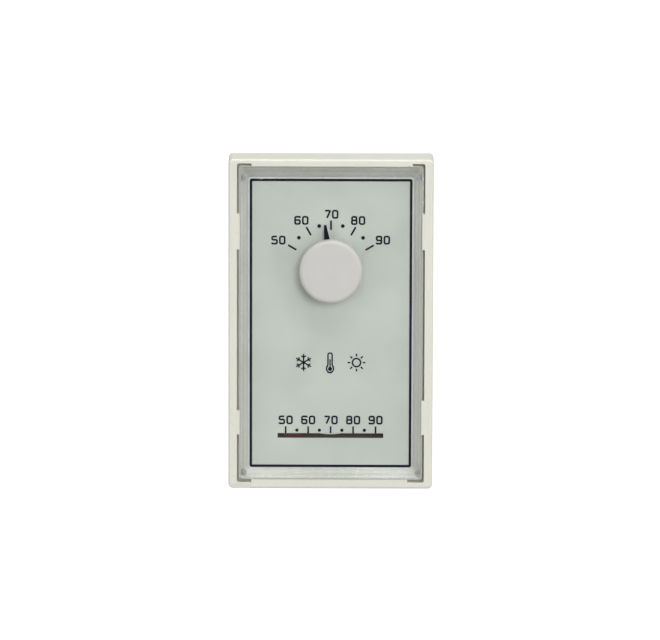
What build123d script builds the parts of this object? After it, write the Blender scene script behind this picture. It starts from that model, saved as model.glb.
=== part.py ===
from build123d import *
import math
import os

# A wall thermostat for mains-voltage heating, in millimetres.
# X runs to the right across the front, Z runs up, and the wall is the plane Y = 0.
# The front faces -Y. A depth below is a distance from the wall, so a depth of 5 lies at Y = -5.

# Case
CASE_WIDTH = 73.0
CASE_HEIGHT = 118.0
CASE_DEPTH = 32.0
CASE_CORNER = 1.6          # radius of the long corners
CASE_EDGE = 0.8            # rounding of the front edges
CASE_DRAFT = 0.75          # each side stands this much wider at the back
COVER_WALL = 1.5
COVER_BACK = 0.6           # the cover stops this far from the wall
FRONT_WALL = 1.4

# Window in the front of the cover, and the lips that hold the lens in it
WINDOW_HALF_WIDTH = 33.5
WINDOW_TOP = 57.5
WINDOW_BOTTOM = -56.8
LIP_REACH = 1.0
LIP_DEPTH = 0.7
LEDGE_BACK = 28.4          # ledge inside the cover, under the gap round the lens
LEDGE_FRONT = 29.3
LEDGE_GAP = 0.3
LOW_LIP_LEFT = -28.3       # ends of the lip along the bottom
LOW_LIP_RIGHT = 27.6
BEVEL_TOP = -57.3          # shallow bevel below that lip, where a thumb pulls the cover
BEVEL_FALL = 0.4

# Air slots through the underside of the cover
VENT_WIDTH = 2.2
VENT_PITCH = 5.2
VENT_COUNT = 9
VENT_BACK = 6.5
VENT_FRONT = 20.5

# Pins that hold the lens and the dial plate to pads in the cover's corners
PIN_SEAT = 25.2            # front of the pads
PIN_SHANK = 1.8            # how far a pin goes into its pad
LENS_PIN_RADIUS = 0.55
PIN_HEAD_RADIUS = 0.8
PIN_HEAD_BACK = 29.4

# Lens and dial plate: two nested trays with sloping sides
LENS_GAP = 0.6             # between the lens and the top and bottom of the window
LENS_SIDE_GAP = 0.4        # between the lens and the sides of the window
LENS_RIM = 0.6             # width of the lens's flat rim outside its sloping sides
LENS_FRONT = 31.2
LENS_FLANGE = 1.0
LENS_FLOOR_FRONT = 27.0
LENS_FLOOR_BACK = 26.1
PLATE_FRONT = 26.0
PLATE_THICKNESS = 0.6
TRAY_HALF_WIDTH = 29.5     # foot of the sloping sides, on the dial plate's face
TRAY_TOP = 52.3
TRAY_BOTTOM = -52.3
TRAY_CORNER = 1.0

# Temperature dial
DIAL_Z = 19.2
SET_ANGLE = -7.4           # where the pointer stands, clockwise from straight up
KNOB_RADIUS = 11.2
KNOB_BACK = 28.5
KNOB_FRONT = 36.4
KNOB_EDGE = 1.4            # rounding of the knob's front edge
HUB_RADIUS = 5.5
SHAFT_RADIUS = 3.0
SHAFT_FLAT = 1.9           # from the axis to the flat of the D
SHAFT_TIP = 33.0
RUNNING_GAP = 0.06
HUB_BACK = 23.6            # the knob's hub reaches back through the dial plate
RETAINER_BACK = 24.4
RETAINER_FRONT = 25.2
RETAINER_GROOVE = 4.9
POINTER_BACK = 27.5
POINTER_REACH = 16.3
CLIP_BACK = 22.2           # groove for the clip on the shaft
CLIP_FRONT = 23.0
CLIP_GROOVE = 2.5
BUSHING_RADIUS = 5.0

# Room thermometer behind its slot
SLOT_HALF_WIDTH = 19.0
SLOT_HEIGHT = 1.7
SLOT_Z = -40.65
THERMOMETER_Z = -19.1
THERMOMETER_RADIUS = 21.2
THERMOMETER_BORE = 1.05
DISC_BACK = 24.6
TONGUE_BACK = 24.2
TONGUE_REACH = 28.0
TONGUE_WIDTH = 5.2
COIL_INNER = 2.0
COIL_OUTER = 9.0
COIL_TURNS = 4.0
COIL_STRIP = 0.35
BACKING_BACK = 21.6
BACKING_FRONT = 22.4
BACKING_RIVET = 0.7
RIVET_TIP = 25.7           # the rivets stop inside the dial plate and don't show from the front
READING_ANGLE = 32.0       # the red tongue stands this far clockwise from straight down

# Base and the box screws of a single switch box
BASE_HALF_WIDTH = 35.0
BASE_HALF_HEIGHT = 57.2
BASE_THICKNESS = 3.0
BOX_SCREW_SPACING = 83.3
BOX_SCREW_HOLE = 2.2
WIRE_ENTRY = (-12.0, 12.0, -13.0, 5.0)
BLIND_HOLE = 1.8           # the screws and rivets stop this far from the wall
POCKET = 1.1               # how deep the back of the base is relieved between its ribs
CHASSIS_FRONT = 4.2
BASE_SCREW_SHANK = 1.5
BRIDGE_FRONT = 18.6
SHEET = 1.2                # thickness of the bent steel pieces

# Mechanism: two flat levers turn on pins that stand out of the chassis
MECHANISM_DEPTH = 12.0
LEVER_WIDTH = 8.0
PIVOT_X = -22.0
RANGE_LEVER_Z = 6.0
TEMPERATURE_LEVER_Z = -8.0
PIN_RADIUS = 1.25
LEVER_HUB = 2.6
CAM_RADIUS = 8.5           # where the range lever touches the cam at the set temperature
CAM_RISE = 0.02            # millimetres of lift for each degree that the knob turns
SPRING_X = -8.0
CAPSULE_X = -4.0
BUTTON_X = 15.0
SWITCH_TOP = -20.4
SWITCH_BOTTOM = -34.2
SWITCH_HALF_WIDTH = 24.0
BLADE_PIVOT_X = -17.0
BLADE_Z = -23.55
CONTACT_X = 11.0
TERMINAL_X = 28.4
TERMINAL_BACK = 11.4
TERMINAL_FRONT = 12.6

# Sensing bulb, which stands upright beside the mechanism
BULB_X = -30.6
BULB_DEPTH = 9.6
BULB_RADIUS = 2.3
BULB_BOTTOM = -14.0
BULB_TOP = 31.0
TUBE_RADIUS = 0.7


def facing(depth):
    """The plane at a depth, drawn on in X and Z and facing the front."""
    return Plane.XZ.offset(depth)


def slab(outline, back, front):
    """An outline in X and Z, made solid from one depth to another."""
    return extrude(facing(back) * outline, front - back)


def rect(left, right, bottom, top):
    return Pos((left + right) / 2, (bottom + top) / 2) * Rectangle(right - left, top - bottom)


def soft_rect(left, right, bottom, top, radius):
    outline = RectangleRounded(right - left, top - bottom, radius)
    return Pos((left + right) / 2, (bottom + top) / 2) * outline


def disc(x, z, radius):
    return Pos(x, z) * Circle(radius)


def ring(x, z, inner, outer):
    return disc(x, z, outer) - disc(x, z, inner)


def post(x, depth, radius, bottom, top):
    """A round bar that stands along Z."""
    return Pos(x, -depth, (bottom + top) / 2) * Cylinder(radius, top - bottom)


def block(left, right, back, front, bottom, top):
    return slab(rect(left, right, bottom, top), back, front)


def frustum(back, front, back_outline, front_outline):
    """A solid that runs straight from one outline at a depth to another in front of it."""
    return loft([facing(back) * back_outline, facing(front) * front_outline])


def slotted_screw(x, z, seat, shank_radius, shank, head_radius, head, slot_turn=0):
    """A screw with a slotted head that sits at a depth and points to the wall."""
    body = slab(disc(x, z, shank_radius), seat - shank, seat)
    body += slab(disc(x, z, head_radius), seat, seat + head)
    slot = Pos(x, z) * Rot(0, 0, slot_turn) * Rectangle(2.4 * head_radius, 0.7)
    return body - slab(slot, seat + 0.55 * head, seat + head + 1)


def rivet(x, z, seat, shank_radius, shank, head_radius, head):
    body = slab(disc(x, z, shank_radius), seat - shank, seat)
    cap = slab(disc(x, z, head_radius), seat, seat + head)
    cap = fillet(cap.faces().sort_by(Axis.Y)[0].edges(), 0.5 * head)
    return body + cap


def turned(outline, x, z, clockwise):
    """An outline turned clockwise about a point, as seen from the front."""
    return Pos(x, z) * Rot(0, 0, -clockwise) * Pos(-x, -z) * outline


def group(pieces):
    """Separate solids kept together in one node."""
    return Compound(children=[Solid(piece.solids()[0].wrapped) for piece in pieces])


# Cover


def case_outline(depth, inset):
    """The cover's section at a depth, smaller by an inset."""
    spread = CASE_DRAFT * (CASE_DEPTH - depth) / CASE_DEPTH - inset
    width = CASE_WIDTH + 2 * spread
    height = CASE_HEIGHT + 2 * spread
    return RectangleRounded(width, height, max(CASE_CORNER - inset, 0.5))


def side_lip(side, bottom, top):
    edge = WINDOW_HALF_WIDTH - LIP_REACH
    outer = WINDOW_HALF_WIDTH + 0.5
    left, right = sorted((side * edge, side * outer))
    return block(left, right, CASE_DEPTH - LIP_DEPTH, CASE_DEPTH, bottom, top)


def cover_shell():
    outer = frustum(COVER_BACK, CASE_DEPTH, case_outline(COVER_BACK, 0), case_outline(CASE_DEPTH, 0))
    outer = fillet(outer.faces().sort_by(Axis.Y)[0].edges(), CASE_EDGE)
    ceiling = CASE_DEPTH - FRONT_WALL
    inner = frustum(
        0, ceiling, case_outline(0, COVER_WALL), case_outline(ceiling, COVER_WALL)
    )
    window = soft_rect(-WINDOW_HALF_WIDTH, WINDOW_HALF_WIDTH, WINDOW_BOTTOM, WINDOW_TOP, 0.8)
    shell = outer - inner - slab(window, ceiling - 1, CASE_DEPTH + 1)
    lip_back = CASE_DEPTH - LIP_DEPTH
    shell += block(-28.3, 29.0, lip_back, CASE_DEPTH, WINDOW_TOP - LIP_REACH, WINDOW_TOP + 0.3)
    low_lip = (WINDOW_BOTTOM - 0.5, WINDOW_BOTTOM + LIP_REACH)
    shell += block(LOW_LIP_LEFT, LOW_LIP_RIGHT, lip_back, CASE_DEPTH, *low_lip)
    for side in (-1, 1):
        shell += side_lip(side, 26.8, 39.7)
    shell += side_lip(-1, -39.5, -30.8)
    shell += side_lip(1, -39.5, -27.2)
    shell += ledge()
    shell -= thumb_bevel()
    for x, z in lens_pin_places():
        across = sorted((x - math.copysign(1.8, x), math.copysign(36.0, x)))
        up = sorted((z - math.copysign(1.8, z), math.copysign(58.2, z)))
        shell += block(*across, PIN_SEAT - PIN_SHANK, PIN_SEAT, *up)
    for x, z in lens_pin_places():
        shell -= slab(disc(x, z, LENS_PIN_RADIUS), PIN_SEAT - 3, PIN_SEAT + 1)
    for x in vent_places():
        shell -= block(x - VENT_WIDTH / 2, x + VENT_WIDTH / 2, VENT_BACK, VENT_FRONT, -62, -54)
    return shell


def ledge():
    """A ring inside the cover that closes the gap round the lens from behind."""
    half_width, top, bottom = tray_edges(LEDGE_FRONT, -0.5 - LEDGE_GAP)
    hole = soft_rect(-half_width, half_width, bottom, top, TRAY_CORNER)
    whole = case_outline(LEDGE_FRONT, COVER_WALL - 0.2)
    return slab(whole - hole, LEDGE_BACK, LEDGE_FRONT)


def thumb_bevel():
    """The wedge that the bevel takes off the bottom edge between the two corner gaps."""
    low = BEVEL_TOP - 4
    fall = 4 * BEVEL_FALL / 1.7
    side = [(-CASE_DEPTH, BEVEL_TOP), (fall - CASE_DEPTH, low), (-CASE_DEPTH - 1, low)]
    wedge = Plane.YZ.offset(LOW_LIP_LEFT) * Polygon(*side, align=None)
    return extrude(wedge, LOW_LIP_RIGHT - LOW_LIP_LEFT)


def vent_places():
    """The middles of the slots that let air in through the underside."""
    return [VENT_PITCH * (number - (VENT_COUNT - 1) / 2) for number in range(VENT_COUNT)]


def lens_pin_places():
    return [(-30.8, 52.4), (31.2, 52.4), (-30.8, -53.4), (31.2, -53.4)]


def lens_pins():
    pins = []
    for x, z in lens_pin_places():
        shank = slab(disc(x, z, LENS_PIN_RADIUS), PIN_SEAT - PIN_SHANK, PIN_HEAD_BACK)
        head = slab(disc(x, z, PIN_HEAD_RADIUS), PIN_HEAD_BACK, PIN_HEAD_BACK + 0.6)
        pins.append(shank + head)
    return group(pins)


def tray_edges(depth, inset):
    """Half width, top and bottom of the sloping sides at a depth, less an inset."""
    rise = (depth - PLATE_FRONT) / (LENS_FRONT - LENS_FLANGE - PLATE_FRONT)
    rim = WINDOW_HALF_WIDTH - LENS_SIDE_GAP - LENS_RIM
    rim_top = WINDOW_TOP - LENS_GAP - LENS_RIM
    rim_bottom = WINDOW_BOTTOM + LENS_GAP + LENS_RIM
    half_width = TRAY_HALF_WIDTH + (rim - TRAY_HALF_WIDTH) * rise - inset
    top = TRAY_TOP + (rim_top - TRAY_TOP) * rise - inset
    bottom = TRAY_BOTTOM + (rim_bottom - TRAY_BOTTOM) * rise + inset
    return half_width, top, bottom


def tray_outline(depth, inset):
    """The section of the dial tray at a depth."""
    half_width, top, bottom = tray_edges(depth, inset)
    return soft_rect(-half_width, half_width, bottom, top, TRAY_CORNER)


def tray_body(back, front, inset):
    return frustum(back, front, tray_outline(back, inset), tray_outline(front, inset))


def pin_holes():
    """Stepped holes through the lens and the dial plate, with seats for the pins' heads."""
    holes = []
    for x, z in lens_pin_places():
        shank = slab(disc(x, z, LENS_PIN_RADIUS), 20, PIN_HEAD_BACK)
        holes.append(shank + slab(disc(x, z, PIN_HEAD_RADIUS + 0.05), PIN_HEAD_BACK, 34))
    return holes


def dial_plate():
    rim = LENS_FRONT - LENS_FLANGE - 0.1
    plate = tray_body(PLATE_FRONT - PLATE_THICKNESS, rim, -0.5)
    plate -= tray_body(PLATE_FRONT, rim + 1, 0)
    plate -= slab(disc(0, DIAL_Z, HUB_RADIUS + 0.5), 20, 30)
    slot_bottom = SLOT_Z - SLOT_HEIGHT / 2
    slot_top = SLOT_Z + SLOT_HEIGHT / 2
    plate -= block(-SLOT_HALF_WIDTH, SLOT_HALF_WIDTH, 20, 30, slot_bottom, slot_top)
    for x, z in backing_rivet_places():
        plate -= slab(disc(x, z, BACKING_RIVET), 20, RIVET_TIP)
    for hole in pin_holes():
        plate -= hole
    return plate


def clear_lens():
    flange_back = LENS_FRONT - LENS_FLANGE
    edge = WINDOW_HALF_WIDTH - LENS_SIDE_GAP
    flange = soft_rect(-edge, edge, WINDOW_BOTTOM + LENS_GAP, WINDOW_TOP - LENS_GAP, 0.8)
    lens = tray_body(LENS_FLOOR_BACK, flange_back, 0.1)
    lens += slab(flange, flange_back, LENS_FRONT)
    lens -= slab(disc(0, DIAL_Z, HUB_RADIUS + RUNNING_GAP), 20, 34)
    for hole in pin_holes():
        lens -= hole
    return lens - tray_body(LENS_FLOOR_FRONT, LENS_FRONT + 1, 0.9)


# Thermometer, carried on the back of the dial plate

def backing_rivet_places():
    return [(-24.6, -36.0), (24.6, -36.0), (-24.6, -4.0), (24.6, -4.0)]


def thermometer_backing():
    """A dark plate behind the dial plate, with four standoffs that reach it."""
    sheet = slab(disc(0, THERMOMETER_Z, THERMOMETER_RADIUS + 1.2), BACKING_BACK, BACKING_FRONT)
    sheet += slab(soft_rect(-26.5, 26.5, -48.5, -2.0, 1.5), BACKING_BACK, BACKING_FRONT)
    for x, z in backing_rivet_places():
        sheet += slab(disc(x, z, 1.6), BACKING_FRONT, PLATE_FRONT - PLATE_THICKNESS)
        sheet -= slab(disc(x, z, BACKING_RIVET), 20, 30)
    return sheet - slab(disc(0, THERMOMETER_Z, 1.5), 20, 30)


def backing_rivets():
    pins = []
    for x, z in backing_rivet_places():
        shank = slab(disc(x, z, BACKING_RIVET), BACKING_BACK, RIVET_TIP)
        pins.append(shank + slab(disc(x, z, 1.3), BACKING_BACK - 0.5, BACKING_BACK))
    return group(pins)


def thermometer_post():
    z = THERMOMETER_Z
    pin = slab(disc(0, z, 1.5), BACKING_BACK - 0.6, BACKING_FRONT)
    return pin + slab(disc(0, z, 1.0), BACKING_FRONT, 25.2)


def pointer_hub():
    z = THERMOMETER_Z
    hub = slab(ring(0, z, THERMOMETER_BORE, COIL_INNER), 22.6, 24.3)
    return hub + slab(ring(0, z, THERMOMETER_BORE, 3.0), 24.3, DISC_BACK)


def spiral(inner, outer, turns, steps):
    """Points on an even spiral about the thermometer's axis."""
    points = []
    for step in range(steps + 1):
        share = step / steps
        angle = 2 * math.pi * turns * share
        radius = inner + (outer - inner) * share
        points.append((radius * math.cos(angle), THERMOMETER_Z + radius * math.sin(angle)))
    return points


def bimetal_coil():
    inside = spiral(COIL_INNER, COIL_OUTER, COIL_TURNS, 48)
    outside = spiral(COIL_INNER + COIL_STRIP, COIL_OUTER + COIL_STRIP, COIL_TURNS, 48)
    edges = [Spline(*inside), Line(inside[-1], outside[-1])]
    edges += [Spline(*reversed(outside)), Line(outside[0], inside[0])]
    coil = slab(make_face(edges), 22.8, 24.1)
    return coil - slab(disc(0, THERMOMETER_Z, COIL_INNER + 0.02), 20, 30)


def thermometer_disc():
    face = ring(0, THERMOMETER_Z, COIL_INNER, THERMOMETER_RADIUS)
    return slab(face, DISC_BACK, DISC_BACK + 0.4)


def thermometer_pointer():
    """The red tongue at the rim of the disc, seen through the slot."""
    z = THERMOMETER_Z
    tongue = ring(0, z, THERMOMETER_RADIUS - 3.0, TONGUE_REACH)
    tongue &= rect(-TONGUE_WIDTH / 2, TONGUE_WIDTH / 2, z - 30, z)
    return slab(turned(tongue, 0, z, READING_ANGLE), TONGUE_BACK, DISC_BACK)


# Knob


def d_outline(radius, flat, clockwise):
    """A round section with one flat, which stands at the top before it is turned."""
    whole = disc(0, DIAL_Z, radius)
    return turned(whole & rect(-10, 10, DIAL_Z - 10, DIAL_Z + flat), 0, DIAL_Z, clockwise)


def knob():
    body = slab(disc(0, DIAL_Z, KNOB_RADIUS), KNOB_BACK, KNOB_FRONT)
    front = body.faces().sort_by(Axis.Y)[0]
    body = fillet(front.edges(), KNOB_EDGE)
    hollow = slab(ring(0, DIAL_Z, HUB_RADIUS + 0.8, KNOB_RADIUS - 1.5), KNOB_BACK, KNOB_FRONT - 2.6)
    body -= hollow
    body += slab(disc(0, DIAL_Z, HUB_RADIUS), HUB_BACK, KNOB_BACK + 1)
    socket = d_outline(SHAFT_RADIUS + RUNNING_GAP, SHAFT_FLAT + RUNNING_GAP, SET_ANGLE)
    body -= slab(socket, HUB_BACK - 1, SHAFT_TIP + 0.8)
    body -= slab(ring(0, DIAL_Z, RETAINER_GROOVE, 9), RETAINER_BACK, RETAINER_FRONT)
    return body - knob_spring_space(0)


def knob_retainer():
    """The push-on ring behind the dial plate that keeps the knob on the cover."""
    washer = ring(0, DIAL_Z, RETAINER_GROOVE, 8.2)
    gap = rect(-1.2, 1.2, DIAL_Z - 12, DIAL_Z)
    return slab(washer - gap, RETAINER_BACK, RETAINER_FRONT)


def knob_spring_space(slack):
    """The room beside the flat of the D for the leaf that grips the shaft, less some slack."""
    inner = DIAL_Z + SHAFT_FLAT + RUNNING_GAP
    leaf = rect(-1.6 + slack, 1.6 - slack, inner, inner + 0.5 - slack)
    return slab(turned(leaf, 0, DIAL_Z, SET_ANGLE), 25.4 + slack, 32.0 - slack)


def knob_spring():
    return knob_spring_space(0.02)


def pointer():
    """A black wedge on a ring under the knob."""
    z = DIAL_Z
    root = z + HUB_RADIUS + 1
    tip = z + POINTER_REACH
    wedge = Polygon((-1.5, root), (1.5, root), (0.42, tip), (-0.42, tip), align=None)
    outline = ring(0, z, HUB_RADIUS, 7.4) + (wedge - disc(0, z, HUB_RADIUS + 0.5))
    return slab(turned(outline, 0, z, SET_ANGLE), POINTER_BACK, KNOB_BACK)


# Shaft and cam


def adjust_shaft():
    shaft = slab(disc(0, DIAL_Z, SHAFT_RADIUS), CHASSIS_FRONT + 0.3, 23.2)
    shaft += slab(disc(0, DIAL_Z, 2.0), BASE_THICKNESS + 0.2, CHASSIS_FRONT + 0.3)
    shaft += slab(d_outline(SHAFT_RADIUS, SHAFT_FLAT, SET_ANGLE), 23.2, SHAFT_TIP)
    return shaft - slab(ring(0, DIAL_Z, CLIP_GROOVE, 5), CLIP_BACK, CLIP_FRONT)


def shaft_clip():
    washer = ring(0, DIAL_Z, CLIP_GROOVE, 5.2)
    mouth = rect(-1.9, 1.9, DIAL_Z - 8, DIAL_Z)
    return slab(washer - mouth, CLIP_BACK, CLIP_FRONT)


def cam_edge(degrees):
    """A point on the cam, counted clockwise from straight down, as seen from the front."""
    radius = CAM_RADIUS - CAM_RISE * degrees
    angle = math.radians(-90 - degrees)
    return (radius * math.cos(angle), DIAL_Z + radius * math.sin(angle))


def range_cam():
    """A snail cam that presses the range lever down as the knob turns to warmer."""
    points = [cam_edge(degrees) for degrees in range(-178, 179, 4)]
    edges = [Spline(*points), Line(points[-1], points[0])]
    cam = slab(make_face(edges), 10.5, 13.5)
    cam += slab(disc(0, DIAL_Z, 4.8), 13.5, 16.0)
    return cam - slab(disc(0, DIAL_Z, SHAFT_RADIUS), 8, 20)


# Base, chassis and the bracket that holds the shaft


def base_screw_places():
    return [(0, BOX_SCREW_SPACING / 2), (0, -BOX_SCREW_SPACING / 2)]


def chassis_screw_places():
    return [(-21.5, 30.4), (21.5, 30.4), (18.0, -3.0), (-16.0, -3.0)]


def bridge_screw_places():
    return [(-17.6, 15.0), (17.6, 15.0), (-17.6, 24.5), (17.6, 24.5)]


def clip_rivet_places():
    return [(-4.5, 51.5), (4.5, 51.5), (-4.5, -51.5), (4.5, -51.5)]


def bulb_clip_places():
    return [-8.0, 22.0]


def base_plate():
    width = BASE_HALF_WIDTH
    height = BASE_HALF_HEIGHT
    plate = slab(soft_rect(-width, width, -height, height, 1.2), 0, BASE_THICKNESS)
    rim = soft_rect(-width, width, -height, height, 1.2)
    rim -= soft_rect(1 - width, width - 1, 1 - height, height - 1, 0.6)
    plate += slab(rim, BASE_THICKNESS, BASE_THICKNESS + 1.5)
    plate -= slab(rect(*WIRE_ENTRY), -1, 9)
    for x, z in base_screw_places():
        plate -= slab(disc(x, z, BOX_SCREW_HOLE), -1, 9)
        plate -= slab(disc(x, z, 4.6), 2.2, 9)
    for x, z in chassis_screw_places() + bridge_screw_places():
        plate -= slab(disc(x, z, BASE_SCREW_SHANK), BLIND_HOLE, 9)
    for x, z in clip_rivet_places():
        plate -= slab(disc(x, z, 1.2), BLIND_HOLE, 9)
    return plate - back_pockets()


def back_pockets():
    """Shallow moulded pockets on the wall side, in two columns beside a solid middle."""
    pockets = []
    rows = 3
    low = 8.5
    high = BASE_HALF_HEIGHT - 3.5
    rib = 1.6
    tall = (high - low - (rows - 1) * rib) / rows
    for side in (-1, 1):
        left, right = sorted((side * 13.5, side * (BASE_HALF_WIDTH - 3.5)))
        for row in range(rows):
            bottom = low + row * (tall + rib)
            for up in (-1, 1):
                ends = sorted((up * bottom, up * (bottom + tall)))
                pockets.append(slab(soft_rect(left, right, *ends, 1.0), -1, POCKET))
    return pockets


def chassis():
    side = 27.0
    sheet = slab(soft_rect(-side, side, -34.5, 33.0, 1.0), BASE_THICKNESS, CHASSIS_FRONT)
    for x in (-side, side - SHEET):
        sheet += block(x, x + SHEET, CHASSIS_FRONT, 9.0, -18.0, 31.5)
    sheet -= slab(rect(*WIRE_ENTRY), -1, 9)
    sheet -= slab(disc(0, DIAL_Z, 2.05), -1, 9)
    for z in (RANGE_LEVER_Z, TEMPERATURE_LEVER_Z):
        sheet -= slab(disc(PIVOT_X, z, PIN_RADIUS), -1, 9)
    for x, z in chassis_screw_places() + bridge_screw_places():
        sheet -= slab(disc(x, z, BASE_SCREW_SHANK), -1, 9)
    for x, z in bracket_rivet_places():
        sheet -= slab(disc(x, z, 1.0), -1, 9)
    return sheet


def chassis_screws():
    turns = (20, 75, 130, 50)
    screws = []
    for (x, z), turn in zip(chassis_screw_places(), turns):
        screws.append(slotted_screw(x, z, CHASSIS_FRONT, BASE_SCREW_SHANK, 2.4, 2.7, 1.6, turn))
    return group(screws)


def bridge_bracket():
    bottom = 12.0
    top = 27.5
    half = 14.6
    front = BRIDGE_FRONT
    plate = block(-half, half, front - SHEET, front, bottom, top)
    plate -= slab(disc(0, DIAL_Z, BUSHING_RADIUS), 10, 30)
    for side in (-1, 1):
        leg = sorted((side * half, side * (half - SHEET)))
        foot = sorted((side * half, side * 20.8))
        plate += block(*leg, CHASSIS_FRONT, front - SHEET, bottom, top)
        plate += block(*foot, CHASSIS_FRONT, CHASSIS_FRONT + SHEET, bottom, top)
    for x, z in bridge_screw_places():
        plate -= slab(disc(x, z, BASE_SCREW_SHANK), 0, 9)
    return plate


def bridge_screws():
    turns = (10, 160, 95, 40)
    seat = CHASSIS_FRONT + SHEET
    screws = []
    for (x, z), turn in zip(bridge_screw_places(), turns):
        screws.append(slotted_screw(x, z, seat, BASE_SCREW_SHANK, 3.6, 2.7, 1.6, turn))
    return group(screws)


def shaft_bushing():
    bore = SHAFT_RADIUS + 0.05
    flange = slab(ring(0, DIAL_Z, bore, 6.5), 16.2, 17.4)
    return flange + slab(ring(0, DIAL_Z, bore, BUSHING_RADIUS), 17.4, 22.0)


def bushing_nut():
    hexagon = Pos(0, DIAL_Z) * RegularPolygon(7.2, 6)
    return slab(hexagon - disc(0, DIAL_Z, BUSHING_RADIUS), BRIDGE_FRONT, BRIDGE_FRONT + 2.2)


def lever_pins():
    pins = []
    for z in (RANGE_LEVER_Z, TEMPERATURE_LEVER_Z):
        pin = slab(disc(PIVOT_X, z, PIN_RADIUS), BASE_THICKNESS, 17.6)
        pin += slab(disc(PIVOT_X, z, 2.3), CHASSIS_FRONT, 7.8)
        pins.append(pin - slab(ring(PIVOT_X, z, 0.9, 2), 16.3, 16.9))
    return group(pins)


def pin_clips():
    clips = []
    for z in (RANGE_LEVER_Z, TEMPERATURE_LEVER_Z):
        washer = ring(PIVOT_X, z, 0.9, 2.4)
        mouth = rect(PIVOT_X - 0.7, PIVOT_X + 0.7, z - 4, z)
        clips.append(slab(washer - mouth, 16.3, 16.9))
    return group(clips)


def cover_clip(side):
    """One bent spring at the top or bottom that the cover snaps over."""
    foot = block(-7.5, 7.5, BASE_THICKNESS, 3.8, 48.8, 56.0)
    upright = block(-7.5, 7.5, 3.8, 12.0, 55.3, 56.0)
    bump = Pos(0, -9.0, 56.0) * Rot(0, 90, 0) * Cylinder(1.2, 15.0)
    bump &= block(-7.5, 7.5, 5.0, 12.0, 55.3, 58.0)
    clip = foot + upright + bump
    for x, z in clip_rivet_places():
        clip -= slab(disc(x, z, 1.2), 0, 9)
    return clip if side > 0 else mirror(clip, Plane.XY)


def cover_clips():
    return group([cover_clip(1), cover_clip(-1)])


def clip_rivets():
    return group([rivet(x, z, 3.8, 1.2, 2.0, 2.0, 0.9) for x, z in clip_rivet_places()])


# Power element: bulb, capillary, capsule and plunger


def capsule_bracket():
    """An angle whose shelf carries the capsule."""
    left = CAPSULE_X - 6.6
    right = CAPSULE_X + 6.6
    foot = block(left, right, CHASSIS_FRONT, CHASSIS_FRONT + SHEET, -19.8, -13.6)
    shelf = block(left, right, CHASSIS_FRONT + SHEET, 18.6, -19.8, -18.6)
    for x, z in bracket_rivet_places():
        foot -= slab(disc(x, z, 1.0), 0, 9)
    return foot + shelf


def bracket_rivet_places():
    return [(CAPSULE_X - 4.2, -16.4), (CAPSULE_X + 4.2, -16.4)]


def bracket_rivets():
    seat = CHASSIS_FRONT + SHEET
    return group([rivet(x, z, seat, 1.0, 2.4, 1.6, 0.7) for x, z in bracket_rivet_places()])


def diaphragm_capsule():
    depth = MECHANISM_DEPTH
    body = post(CAPSULE_X, depth, 6.4, -18.6, -14.4)
    body = fillet(body.edges().filter_by(GeomType.CIRCLE), 0.8)
    body += post(CAPSULE_X, depth, 3.0, -14.5, -12.4)
    return body - post(CAPSULE_X, depth, 1.6 + RUNNING_GAP, -17.2, -10)


def element_plunger():
    rod = post(CAPSULE_X, MECHANISM_DEPTH, 1.6, -16.4, -8.75)
    return chamfer(rod.edges().group_by(Axis.Z)[0], 0.3)


def sensing_bulb():
    bulb = post(BULB_X, BULB_DEPTH, BULB_RADIUS, BULB_BOTTOM, BULB_TOP)
    return fillet(bulb.edges().filter_by(GeomType.CIRCLE), 1.4)


def capillary_tube():
    start = (BULB_X, -BULB_DEPTH, BULB_BOTTOM)
    end = (CAPSULE_X - 6.45, -MECHANISM_DEPTH, -16.5)
    corners = [start, (BULB_X, -BULB_DEPTH, -18.2), (-24.0, -MECHANISM_DEPTH, -18.2)]
    corners += [(-16.5, -MECHANISM_DEPTH, -16.5), end]
    route = FilletPolyline(*corners, radius=1.6)
    section = Plane(origin=start, z_dir=(0, 0, -1)) * Circle(TUBE_RADIUS)
    return sweep(section, path=route)


def bulb_clips():
    """Two plastic saddles that hold the bulb off the base."""
    clips = []
    for z in bulb_clip_places():
        saddle = block(BULB_X - 3.2, BULB_X + 3.2, BASE_THICKNESS, BULB_DEPTH + 1.4, z - 2, z + 2)
        saddle -= post(BULB_X, BULB_DEPTH, BULB_RADIUS, z - 4, z + 4)
        saddle -= block(BULB_X - 1.5, BULB_X + 1.5, BULB_DEPTH, BULB_DEPTH + 4, z - 4, z + 4)
        clips.append(saddle)
    return group(clips)


# Levers, range spring and calibration screw


def lever(z, right, screw_hole=None):
    """A steel strip that turns on a pin at its left end."""
    back = MECHANISM_DEPTH - LEVER_WIDTH / 2
    front = MECHANISM_DEPTH + LEVER_WIDTH / 2
    strip = rect(PIVOT_X, right, z - SHEET / 2, z + SHEET / 2) + disc(PIVOT_X, z, LEVER_HUB)
    bar = slab(strip - disc(PIVOT_X, z, PIN_RADIUS + 0.05), back, front)
    if screw_hole is not None:
        bar -= post(screw_hole, MECHANISM_DEPTH, 1.5, z - 3, z + 3)
    return bar


def range_lever():
    z = RANGE_LEVER_Z
    bar = lever(z, 4.5)
    bar += post(SPRING_X, MECHANISM_DEPTH, 1.7, z - 1.6, z - SHEET / 2)
    nose_top = DIAL_Z - CAM_RADIUS - 0.3
    nose = rect(-1.5, 1.5, z, nose_top - 1.5) + disc(0, nose_top - 1.5, 1.5)
    return bar + slab(nose, 10.0, 14.0)


def temperature_lever():
    z = TEMPERATURE_LEVER_Z
    bar = lever(z, BUTTON_X + 3.5, BUTTON_X)
    return bar + post(SPRING_X, MECHANISM_DEPTH, 1.7, z + SHEET / 2, z + 1.6)


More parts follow.
